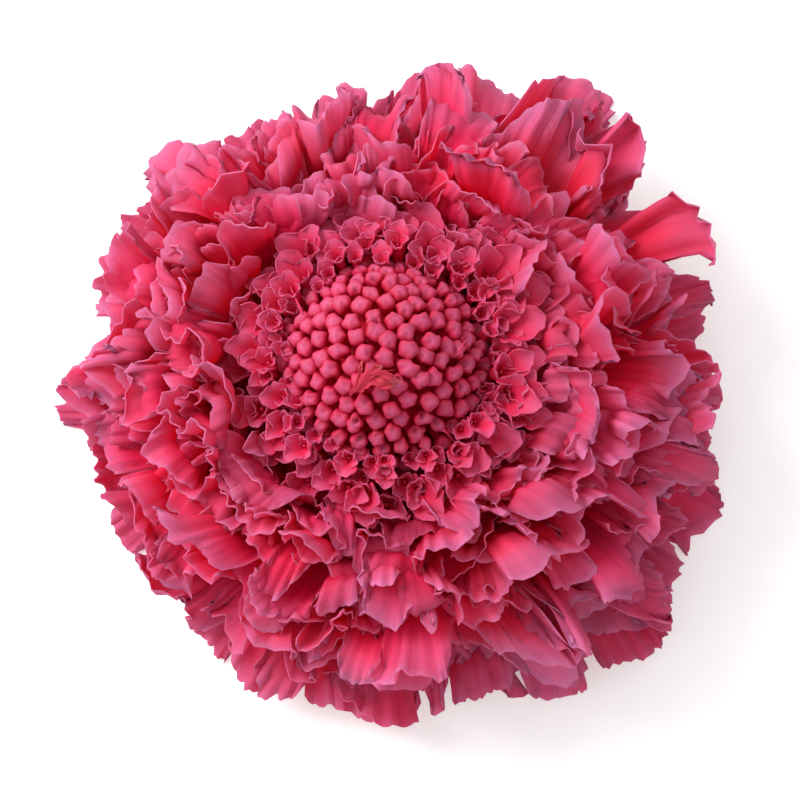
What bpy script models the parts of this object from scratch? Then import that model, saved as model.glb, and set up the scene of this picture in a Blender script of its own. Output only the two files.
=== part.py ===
"""Head of a double scabiosa (sweet scabious), cut just below the flower and
lying on its back: domed receptacle with a cut stub, a dome of closed buds,
leafy bracts underneath, a ring of small opening florets and four whorls of
ruffled ray florets.  Units are metres, +Z is up through the bud dome."""

import math

import bmesh
import bpy
import numpy as np
from mathutils import Vector

MM = 0.001

# ---------------------------------------------------------------- dimensions
GAP = 0.3 * MM                  # clearance between neighbouring pieces

STUB_RADIUS = 1.5 * MM          # cut stem
STUB_LENGTH = 4.0 * MM
NECK_RADIUS = 5.5 * MM          # where the calyx cup ends
FLANK_RADIUS = 6.0 * MM         # receptacle, where the florets sit
FLANK_TOP = 15.0 * MM
CORE_HEIGHT = 7.4 * MM          # domed top of the receptacle above the flank

DOME_CENTRE_Z = 16.2 * MM       # bud dome, an ellipsoid cap
DOME_RADIUS = 9.7 * MM
DOME_HEIGHT = 10.6 * MM
BUD_COUNT = 126
BUD_RELIEF = 0.9 * MM
DOME_LOW_ANGLE = math.radians(93.0)

BRACT_COUNT = 8
BRACT_THICKNESS = 0.45 * MM

LIMB_THICKNESS = 0.45 * MM
TUBE_THICKNESS = 1.0 * MM
TUBE_HALF_WIDTH = 0.65 * MM

# reach of the lowest whorl from the flower's axis, every 30 degrees from +X
OUTER_REACH = [30.6, 33.0, 32.6, 30.0, 28.8, 30.0, 30.2, 28.6, 29.2, 30.2, 31.8, 32.6]

# whorl: count, first azimuth, profile (radius, height) in mm from the base of
# the tube to the margin, ruffle height in mm, waves across the limb
WHORLS = {
    "outer_floret": dict(
        count=12, first=0.0, fill=0.90, ruffle=1.3, waves=2.6,
        line=[(6.5, 8.2), (9.0, 8.0), (12.5, 7.6), (17.5, 6.6), (22.5, 4.4), (26.5, 2.3), (29.3, 1.3)]),
    "lower_floret": dict(
        count=11, first=14.0, fill=0.88, ruffle=1.4, waves=2.4,
        line=[(6.5, 9.7), (9.0, 9.9), (12.2, 10.3), (16.2, 11.6), (20.2, 13.6), (23.8, 15.4), (27.0, 15.8)]),
    "upper_floret": dict(
        count=10, first=5.0, fill=0.87, ruffle=1.3, waves=2.4,
        line=[(6.5, 11.2), (8.8, 11.6), (11.6, 12.7), (14.2, 15.2), (16.6, 18.2), (18.8, 20.6), (21.4, 21.8)]),
    "inner_floret": dict(
        count=8, first=20.0, fill=0.86, ruffle=0.8, waves=2.0,
        line=[(6.5, 12.7), (8.6, 13.1), (10.8, 14.3), (12.5, 16.8), (13.6, 19.4), (14.9, 21.6), (16.9, 23.0)]),
    "opening_floret": dict(
        count=9, first=8.0, fill=0.80, ruffle=0.2, waves=1.5,
        line=[(6.5, 14.2), (8.8, 14.4), (10.7, 15.6), (11.4, 17.4), (11.7, 19.2), (12.2, 20.6)]),
}


# ------------------------------------------------------------------- helpers
def clear_scene():
    for obj in list(bpy.data.objects):
        bpy.data.objects.remove(obj, do_unlink=True)


def material(name, colour, roughness, metallic=0.0):
    mat = bpy.data.materials.new(name)
    mat.use_nodes = True
    bsdf = mat.node_tree.nodes["Principled BSDF"]
    bsdf.inputs["Base Color"].default_value = (*colour, 1.0)
    bsdf.inputs["Roughness"].default_value = roughness
    bsdf.inputs["Metallic"].default_value = metallic
    mat.diffuse_color = (*colour, 1.0)
    return mat


def smooth_line(points, samples):
    """Points spaced evenly along a smooth curve through the given ones."""
    p = np.array(points, float)
    p = np.vstack([2 * p[0] - p[1], p, 2 * p[-1] - p[-2]])
    fine = []
    for i in range(1, len(p) - 2):
        for t in np.linspace(0.0, 1.0, 24, endpoint=False):
            fine.append(0.5 * (
                2 * p[i] + (p[i + 1] - p[i - 1]) * t
                + (2 * p[i - 1] - 5 * p[i] + 4 * p[i + 1] - p[i + 2]) * t ** 2
                + (3 * p[i] - p[i - 1] - 3 * p[i + 1] + p[i + 2]) * t ** 3))
    fine.append(p[-2])
    fine = np.array(fine)
    s = np.concatenate([[0], np.cumsum(np.linalg.norm(np.diff(fine, axis=0), axis=1))])
    s /= s[-1]
    at = np.asarray(samples, float)
    return np.stack([np.interp(at, s, fine[:, k]) for k in range(2)], axis=1)


def line_normals(line):
    """Unit normals of an (r, z) line, on its upper and inner side."""
    d = np.gradient(line, axis=0)
    d /= np.linalg.norm(d, axis=1)[:, None]
    return np.stack([-d[:, 1], d[:, 0]], axis=1)


def slab(name, centre, normal, thickness, mat, parent, floor=None):
    """Closed body from a grid of centre points, normals and thicknesses."""
    rows, cols = centre.shape[:2]
    half = 0.5 * thickness[..., None] * normal
    top, low = centre + half, centre - half
    if floor is not None:
        low[..., 2] = np.maximum(low[..., 2], floor)
        top[..., 2] = np.maximum(top[..., 2], floor + 0.6 * thickness)
    bm = bmesh.new()
    upper = [[bm.verts.new(Vector(top[i, j])) for j in range(cols)] for i in range(rows)]
    lower = [[bm.verts.new(Vector(low[i, j])) for j in range(cols)] for i in range(rows)]
    for i in range(rows - 1):
        for j in range(cols - 1):
            bm.faces.new((upper[i][j], upper[i + 1][j], upper[i + 1][j + 1], upper[i][j + 1]))
            bm.faces.new((lower[i][j], lower[i][j + 1], lower[i + 1][j + 1], lower[i + 1][j]))
        bm.faces.new((upper[i][0], lower[i][0], lower[i + 1][0], upper[i + 1][0]))
        bm.faces.new((upper[i][-1], upper[i + 1][-1], lower[i + 1][-1], lower[i][-1]))
    for j in range(cols - 1):
        bm.faces.new((upper[0][j], upper[0][j + 1], lower[0][j + 1], lower[0][j]))
        bm.faces.new((upper[-1][j], lower[-1][j], lower[-1][j + 1], upper[-1][j + 1]))
    bmesh.ops.triangulate(bm, faces=bm.faces[:])
    bmesh.ops.recalc_face_normals(bm, faces=bm.faces[:])
    mesh = bpy.data.meshes.new(name)
    bm.to_mesh(mesh)
    bm.free()
    mesh.materials.append(mat)
    obj = bpy.data.objects.new(name, mesh)
    bpy.context.collection.objects.link(obj)
    obj.parent = parent
    return obj


# -------------------------------------------------------------------- pieces
def ray_floret(name, spec, index, reach, lift, phase, mat, parent, cols, samples):
    """Narrow tube that widens to a ruffled limb of three notched lobes.

    The limb lies along +X in its own frame and keeps to its own sector."""
    line = np.array(spec["line"])
    scale = reach / line[-1, 0]
    start = 12.0                                     # the tube keeps its length
    line[:, 0] = np.where(line[:, 0] > start,
                          start + (line[:, 0] - start) * (reach - start) / (line[-1, 0] - start)
                          if reach > start else line[:, 0] * scale, line[:, 0])
    v = np.linspace(-1.0, 1.0, cols)
    lobes = 0.80 + 0.20 * np.abs(np.cos(1.5 * math.pi * v)) ** 0.7 - 0.10 * np.abs(v) ** 4
    half_sector = math.pi / spec["count"] * spec["fill"]
    centre = np.zeros((len(samples), cols, 3))
    normal = np.zeros_like(centre)
    thick = np.zeros((len(samples), cols))
    for j, vj in enumerate(v):
        s = np.array(samples)
        tube = 0.22
        s = np.where(s > tube, tube + (s - tube) * (lobes[j] - tube) / (1 - tube), s)
        pts = smooth_line(line, s) * MM
        nrm = line_normals(smooth_line(line, s))
        open_out = np.clip((s - 0.06) / 0.46, 0, 1)
        open_out = open_out * open_out * (3 - 2 * open_out)
        wide = np.minimum(half_sector, 1.3) * pts[:, 0]
        half = TUBE_HALF_WIDTH + (wide - TUBE_HALF_WIDTH) * open_out
        ang = vj * half / pts[:, 0]
        wave = np.cos(math.pi * spec["waves"] * vj + phase) + 0.35 * np.cos(
            math.pi * 2.3 * spec["waves"] * vj + 2.1 * phase)
        rise = spec["ruffle"] * MM * wave * np.clip((s - 0.2) / 0.8, 0, 1) ** 1.2
        rise += lift * MM * np.clip((s - 0.15) / 0.5, 0, 1)
        r = pts[:, 0] + nrm[:, 0] * rise
        z = pts[:, 1] + nrm[:, 1] * rise
        centre[:, j] = np.stack([r * np.cos(ang), r * np.sin(ang), z], axis=1)
        normal[:, j] = np.stack([nrm[:, 0] * np.cos(ang), nrm[:, 0] * np.sin(ang), nrm[:, 1]], axis=1)
        fade = np.clip((s - 0.12) / 0.25, 0, 1)
        thick[:, j] = TUBE_THICKNESS + (LIMB_THICKNESS - TUBE_THICKNESS) * fade
    return slab(name, centre, normal, thick, mat, parent, floor=0.0)


def bract(name, index, mat, parent):
    """Narrow leaf, keeled along its middle, that spreads under the florets."""
    length = 12.6 + 0.9 * math.sin(2.7 * index + 0.4)
    droop = 0.35 * math.sin(1.9 * index)
    line = np.array([(3.5, 4.3), (5.2, 4.5), (7.6, 4.9), (10.0, 4.8 + droop),
                     (length, 4.0 + 1.6 * droop)])
    s = np.linspace(0, 1, 6)
    pts = smooth_line(line, s) * MM
    nrm = line_normals(smooth_line(line, s))
    v = np.array([-1.0, 0.0, 1.0])
    half = np.interp(s, [0, 0.35, 0.7, 1.0], [0.75, 1.35, 1.0, 0.22]) * MM
    centre = np.zeros((len(s), 3, 3))
    normal = np.zeros_like(centre)
    thick = np.full((len(s), 3), BRACT_THICKNESS)
    for j, vj in enumerate(v):
        keel = -0.25 * MM * (1 - abs(vj))
        centre[:, j] = np.stack([pts[:, 0] + nrm[:, 0] * keel, vj * half,
                                 pts[:, 1] + nrm[:, 1] * keel], axis=1)
        normal[:, j] = np.stack([nrm[:, 0], np.zeros(len(s)), nrm[:, 1]], axis=1)
    thick[:, 0] = thick[:, 2] = 0.6 * BRACT_THICKNESS
    return slab(name, centre, normal, thick, mat, parent)


def receptacle(mat, parent):
    """Cut stub, calyx cup and domed receptacle, turned about the axis."""
    turned = [(0.0, 0.0), (STUB_RADIUS, 0.0), (STUB_RADIUS * 1.02, STUB_LENGTH * 0.6),
              (STUB_RADIUS * 1.25, STUB_LENGTH), (3.0 * MM, 5.2 * MM), (4.6 * MM, 6.2 * MM),
              (NECK_RADIUS, 7.2 * MM), (FLANK_RADIUS, 8.4 * MM), (FLANK_RADIUS, 11.6 * MM),
              (FLANK_RADIUS, FLANK_TOP)]
    for a in (18, 36, 54, 72):
        a = math.radians(a)
        turned.append((FLANK_RADIUS * math.cos(a), FLANK_TOP + CORE_HEIGHT * math.sin(a)))
    turned.append((0.0, FLANK_TOP + CORE_HEIGHT))
    bm = bmesh.new()
    verts = [bm.verts.new((r, 0.0, z)) for r, z in turned]
    edges = [bm.edges.new((a, b)) for a, b in zip(verts, verts[1:])]
    bmesh.ops.spin(bm, geom=verts + edges, cent=(0, 0, 0), axis=(0, 0, 1),
                   angle=2 * math.pi, steps=20, use_merge=False, use_duplicate=False)
    bmesh.ops.remove_doubles(bm, verts=bm.verts[:], dist=1e-6)
    bmesh.ops.dissolve_degenerate(bm, dist=1e-7, edges=bm.edges[:])
    bmesh.ops.triangulate(bm, faces=bm.faces[:])
    bmesh.ops.recalc_face_normals(bm, faces=bm.faces[:])
    mesh = bpy.data.meshes.new("receptacle")
    bm.to_mesh(mesh)
    bm.free()
    mesh.materials.append(mat)
    mesh.shade_smooth()
    mesh.set_sharp_from_angle(angle=math.radians(40))
    obj = bpy.data.objects.new("receptacle", mesh)
    bpy.context.collection.objects.link(obj)
    obj.parent = parent
    return obj


def bud_places():
    """Directions of the buds, on a spiral that ends in an even lowest row."""
    golden = math.pi * (3 - math.sqrt(5))
    last = 30
    places = []
    inner = BUD_COUNT - last
    top = math.cos(DOME_LOW_ANGLE - 0.20)
    for i in range(inner):
        c = 1.0 - (1.0 - top) * (i + 0.5) / inner
        a = math.acos(c)
        places.append((a, i * golden))
    for i in range(last):
        places.append((DOME_LOW_ANGLE, 2 * math.pi * i / last))
    return places


def closed_buds(mat, parent):
    """Cap of closed buds: one low pyramid for each bud over a domed shell."""
    dirs = [Vector((math.sin(a) * math.cos(p), math.sin(a) * math.sin(p), math.cos(a)))
            for a, p in bud_places()]

    def on_shell(d, inner=False, sink=0.0):
        if inner:
            rr, hh = FLANK_RADIUS + 1.15 * GAP, CORE_HEIGHT + FLANK_TOP - DOME_CENTRE_Z + 1.6 * GAP
            # the receptacle's dome starts a little lower than the bud dome
            return Vector((rr * d.x, rr * d.y, DOME_CENTRE_Z + hh * max(d.z, -0.05)))
        k = 1.0 - sink / DOME_RADIUS
        return Vector((DOME_RADIUS * k * d.x, DOME_RADIUS * k * d.y,
                       DOME_CENTRE_Z + DOME_HEIGHT * k * d.z))

    hull = bmesh.new()
    points = [hull.verts.new(d) for d in dirs]
    hull.verts.index_update()
    bmesh.ops.convex_hull(hull, input=points)
    bmesh.ops.triangulate(hull, faces=hull.faces[:])
    hull.verts.index_update()
    tris = []
    for f in hull.faces:
        f.normal_update()
        c = f.calc_center_median()
        n = f.normal if f.normal.dot(c) > 0 else -f.normal
        low = all(v.co.z < math.cos(DOME_LOW_ANGLE) + 0.01 for v in f.verts)
        if low and n.z < -0.5:
            continue
        ids = [v.index for v in f.verts]
        if f.normal.dot(c) < 0:
            ids.reverse()
        tris.append(ids)
    hull.free()

    bm = bmesh.new()
    tops = [bm.verts.new(on_shell(d)) for d in dirs]
    mids, used = {}, {}

    def middle(i, j):
        key = (min(i, j), max(i, j))
        used[key] = used.get(key, 0) + 1
        if key not in mids:
            mids[key] = bm.verts.new(on_shell((dirs[i] + dirs[j]).normalized(), sink=0.7 * BUD_RELIEF))
        return mids[key]

    inner = {}

    def inside(i):
        if i not in inner:
            inner[i] = bm.verts.new(on_shell(dirs[i], inner=True))
        return inner[i]

    for a, b, c in tris:
        centre = bm.verts.new(on_shell((dirs[a] + dirs[b] + dirs[c]).normalized(), sink=BUD_RELIEF))
        for i, j in ((a, b), (b, c), (c, a)):
            m = middle(i, j)
            bm.faces.new((tops[i], m, centre))
            bm.faces.new((m, tops[j], centre))
        bm.faces.new((inside(c), inside(b), inside(a)))
    for a, b, c in tris:
        for i, j in ((a, b), (b, c), (c, a)):
            key = (min(i, j), max(i, j))
            if used[key] == 1:
                m = mids[key]
                bm.faces.new((tops[j], m, inner[j]))
                bm.faces.new((m, inner[i], inner[j]))
                bm.faces.new((m, tops[i], inner[i]))
    bmesh.ops.recalc_face_normals(bm, faces=bm.faces[:])
    mesh = bpy.data.meshes.new("closed_buds")
    bm.to_mesh(mesh)
    bm.free()
    mesh.materials.append(mat)
    obj = bpy.data.objects.new("closed_buds", mesh)
    bpy.context.collection.objects.link(obj)
    obj.parent = parent
    return obj


def centre_on_origin(axis, pieces):
    """Move the flower's axis so that the outline is centred on the origin."""
    low, high = np.full(2, 1e9), np.full(2, -1e9)
    for obj in pieces:
        turn = obj.rotation_euler.to_matrix()
        co = np.array([(turn @ v.co)[:2] for v in obj.data.vertices])
        low, high = np.minimum(low, co.min(0)), np.maximum(high, co.max(0))
    axis.location = (-(low[0] + high[0]) / 2, -(low[1] + high[1]) / 2, 0.0)


def build():
    clear_scene()
    axis = bpy.data.objects.new("flower_axis", None)
    bpy.context.collection.objects.link(axis)

    green = material("dyed_stem", (0.23, 0.13, 0.09), 0.75)
    leaf = material("bract_leaf", (0.28, 0.14, 0.10), 0.72)
    bud = material("bud_petal", (0.62, 0.06, 0.13), 0.62)
    shades = {
        "outer_floret": material("outer_petal", (0.60, 0.035, 0.13), 0.6),
        "lower_floret": material("lower_petal", (0.66, 0.04, 0.14), 0.6),
        "upper_floret": material("upper_petal", (0.70, 0.045, 0.15), 0.6),
        "inner_floret": material("inner_petal", (0.72, 0.055, 0.16), 0.6),
        "opening_floret": material("opening_petal", (0.66, 0.06, 0.14), 0.62),
    }

    pieces = [receptacle(green, axis), closed_buds(bud, axis)]
    for i in range(BRACT_COUNT):
        obj = bract(f"bract_{i + 1:02d}", i, leaf, axis)
        obj.rotation_euler = (0, 0, 2 * math.pi * (i + 0.3) / BRACT_COUNT)
        pieces.append(obj)

    rng = np.random.default_rng(41)
    for family, spec in WHORLS.items():
        small = family == "opening_floret"
        cols = 5 if small else 9
        samples = ([0.0, 0.25, 0.55, 0.8, 1.0] if small else [0.0, 0.16, 0.34, 0.56, 0.78, 1.0])
        for i in range(spec["count"]):
            azimuth = math.radians(spec["first"]) + 2 * math.pi * i / spec["count"]
            reach = spec["line"][-1][0]
            around = (math.degrees(azimuth) / 30.0) % 12
            k = int(around)
            outline = OUTER_REACH[k] + (OUTER_REACH[(k + 1) % 12] - OUTER_REACH[k]) * (around - k)
            if not small:
                reach *= outline / 29.3                  # the whorl lines are drawn for 29.3 mm
            obj = ray_floret(f"{family}_{i + 1:02d}", spec, i, reach,
                             rng.uniform(-0.35, 0.35), rng.uniform(0, 2 * math.pi),
                             shades[family], axis, cols, samples)
            obj.rotation_euler = (0, 0, azimuth)
            pieces.append(obj)
    centre_on_origin(axis, pieces)
    bpy.context.view_layer.update()


build()
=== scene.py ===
"""Looks of the pink double scabiosa head: ruffled petals grown and pressed
against each other, a dome of closed buds, small opening florets round it,
bracts and the cut stub underneath.  Metres in the scene, millimetres in the
growth."""

import math

import bpy
import numpy as np
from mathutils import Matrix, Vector


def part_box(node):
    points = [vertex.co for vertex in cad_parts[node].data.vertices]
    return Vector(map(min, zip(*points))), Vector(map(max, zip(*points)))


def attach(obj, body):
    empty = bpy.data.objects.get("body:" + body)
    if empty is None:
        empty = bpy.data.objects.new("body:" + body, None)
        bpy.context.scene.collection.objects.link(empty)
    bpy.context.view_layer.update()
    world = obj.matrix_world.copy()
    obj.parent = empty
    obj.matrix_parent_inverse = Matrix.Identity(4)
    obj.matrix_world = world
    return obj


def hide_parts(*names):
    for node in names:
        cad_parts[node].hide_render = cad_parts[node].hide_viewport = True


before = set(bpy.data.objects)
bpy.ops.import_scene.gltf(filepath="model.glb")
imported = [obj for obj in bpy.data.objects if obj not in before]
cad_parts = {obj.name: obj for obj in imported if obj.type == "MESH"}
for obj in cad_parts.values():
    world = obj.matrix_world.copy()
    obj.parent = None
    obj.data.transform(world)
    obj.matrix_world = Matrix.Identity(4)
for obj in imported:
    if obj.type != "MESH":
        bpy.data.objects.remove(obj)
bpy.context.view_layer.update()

MM = 0.001
F32 = np.float32
low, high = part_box("receptacle")
AXIS = np.array([(low[0] + high[0]) / 2, (low[1] + high[1]) / 2, 0.0]) / MM   # flower axis, mm

# ------------------------------------------------------------ camera
ELEVATION = math.radians(78.0)
LENS, SENSOR, DISTANCE = 100.0, 36.0, 0.2
BACK = np.array([0.0, -math.cos(ELEVATION), math.sin(ELEVATION)])
RIGHT = np.array([1.0, 0.0, 0.0])
UP = np.cross(BACK, RIGHT)
AIM = np.array([0.0, 0.0, 0.008]) + RIGHT * 0.00103 - UP * 0.00027
PIXELS = LENS / SENSOR * 800


def in_picture(points):
    """Picture coordinates from the head's middle, in 1/800 of the width, of points in mm from the axis."""
    w = (np.asarray(points, float) + AXIS) * MM - (AIM + BACK * DISTANCE)
    depth = -(w @ BACK)
    return 400 + PIXELS * (w @ RIGHT) / depth - 390, 397 - (400 - PIXELS * (w @ UP) / depth)


# ------------------------------------------------------------ petal whorls
# reach of the outline from the axis every 30 degrees from +X, in mm
OUTER_REACH = [30.6, 33.0, 32.6, 30.0, 28.8, 30.0, 30.2, 28.6, 29.2, 30.2, 31.8, 32.6]
# reach of the head's outline every 5 degrees from +X, in 1/800 of the picture's width
OUTLINE = [332, 330, 308, 336, 338, 358, 363, 348, 338, 360, 370, 373, 370, 346, 328, 336, 338, 328,
           307, 310, 315, 302, 304, 305, 304, 309, 335, 337, 322, 322, 320, 321, 313, 303, 296, 320,
           338, 324, 304, 303, 304, 304, 305, 302, 304, 293, 306, 311, 313, 326, 324, 314, 315, 321,
           330, 326, 325, 315, 319, 332, 346, 352, 348, 366, 366, 345, 336, 333, 350, 344, 329, 323]
T0, T1, T2, T3 = (12.0, 7.4), (12.2, 10.2), (11.8, 12.4), (11.2, 13.9)
L3 = [-0.36, 0.34]
WHORLS = {
    "outer_floret": dict(count=12, first=0.0, tube=[(6.5, 8.2), (9.0, 8.0)], throat=T0, lips=[
        dict(line=[(17.0, 6.2), (22.0, 4.6), (26.5, 3.3), (30.8, 2.6)], cuts=L3, curl=0.05, waves=1.3, ruffle=1.2, lap=1.0, spread=1.60, twist=0.8),
        dict(line=[(16.5, 7.0), (21.0, 6.8), (25.0, 6.5), (29.4, 6.2)], cuts=L3, curl=0.16, waves=1.3, ruffle=1.8, lap=1.0, spread=1.60, twist=1.2, turn=0.5),
        dict(line=[(16.0, 7.9), (20.0, 8.3), (24.0, 8.9), (28.4, 9.4)], cuts=[0.0], curl=0.28, waves=1.4, ruffle=2.3, lap=1.0, spread=1.60, twist=1.4)]),
    "lower_floret": dict(count=11, first=14.0, tube=[(6.5, 9.7), (9.0, 9.9)], throat=T1, lips=[
        dict(line=[(16.5, 10.8), (20.5, 11.9), (24.5, 13.0), (28.2, 13.4)], cuts=L3, curl=0.44, waves=1.6, ruffle=2.6, lap=1.0, spread=1.60, twist=1.5),
        dict(line=[(16.2, 11.6), (19.8, 13.2), (23.0, 15.2), (26.6, 16.4)], cuts=L3, curl=0.44, waves=1.6, ruffle=2.4, lap=1.0, spread=1.55, twist=1.5, turn=0.5),
        dict(line=[(15.8, 12.2), (19.0, 14.4), (21.8, 17.0), (24.8, 18.8)], cuts=[0.0], curl=0.46, waves=1.5, ruffle=2.5, lap=1.0, spread=1.55, twist=1.5)]),
    "upper_floret": dict(count=10, first=5.0, tube=[(6.5, 11.2), (8.8, 11.6)], throat=T2, lips=[
        dict(line=[(14.8, 14.6), (17.6, 17.2), (20.2, 19.6), (22.8, 21.4)], cuts=L3, curl=0.52, waves=1.6, ruffle=2.3, lap=1.0, spread=1.60, twist=1.4),
        dict(line=[(14.4, 14.8), (16.8, 17.6), (18.8, 20.2), (20.8, 22.0)], cuts=L3, curl=0.50, waves=1.5, ruffle=2.0, lap=1.0, spread=1.50, twist=1.3, turn=-0.5),
        dict(line=[(14.0, 15.0), (16.0, 18.0), (17.6, 20.8), (19.4, 22.8)], cuts=[0.0], curl=0.50, waves=1.5, ruffle=2.0, lap=0.8, spread=1.55, twist=1.2)]),
    "inner_floret": dict(count=8, first=20.0, tube=[(6.5, 12.7), (8.6, 13.1)], throat=T3, lips=[
        dict(line=[(13.4, 16.4), (14.8, 18.8), (16.2, 21.2), (18.0, 23.0)], cuts=L3, curl=0.52, waves=1.7, ruffle=1.7, lap=0.8, spread=1.50, twist=1.0),
        dict(line=[(13.2, 16.3), (14.3, 18.5), (15.2, 20.6), (16.6, 22.4)], cuts=L3, curl=0.45, waves=1.6, ruffle=1.4, lap=0.8, spread=1.45, twist=1.0, turn=0.5),
        dict(line=[(12.9, 16.2), (13.7, 18.2), (14.3, 20.0), (15.2, 21.4)], cuts=[0.0], curl=0.42, waves=1.5, ruffle=1.0, lap=0.5, spread=1.35, twist=0.7)]),
}
COARSE = (14, 50)
FINE = (15, 94)

DOME_CENTRE_Z, DOME_RADIUS, DOME_HEIGHT = 16.2, 9.7, 10.6        # bud dome, mm


# ----------------------------------------------------------------- curves
def smooth_line(points, n=400):
    """An (r, z) line through the points, evenly spaced, with its normals."""
    p = np.array(points, float)
    p = np.vstack([2 * p[0] - p[1], p, 2 * p[-1] - p[-2]])
    fine = []
    for i in range(1, len(p) - 2):
        for t in np.linspace(0.0, 1.0, 24, endpoint=False):
            fine.append(0.5 * (2 * p[i] + (p[i + 1] - p[i - 1]) * t
                        + (2 * p[i - 1] - 5 * p[i] + 4 * p[i + 1] - p[i + 2]) * t ** 2
                        + (3 * p[i] - p[i - 1] - 3 * p[i + 1] + p[i + 2]) * t ** 3))
    fine.append(p[-2])
    fine = np.array(fine)
    s = np.concatenate([[0], np.cumsum(np.linalg.norm(np.diff(fine, axis=0), axis=1))])
    at = np.linspace(0, s[-1], n)
    line = np.stack([np.interp(at, s, fine[:, k]) for k in range(2)], axis=1)
    d = np.gradient(line, axis=0)
    d /= np.linalg.norm(d, axis=1)[:, None]
    return at, line, np.stack([-d[:, 1], d[:, 0]], axis=1)


def smooth_noise(rng, n, waves):
    x = np.linspace(0, 1, n)
    out = np.zeros(n)
    for w in waves:
        out += rng.normal() * np.cos(2 * math.pi * (w * x + rng.random()))
    return out / math.sqrt(len(waves))


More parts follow.
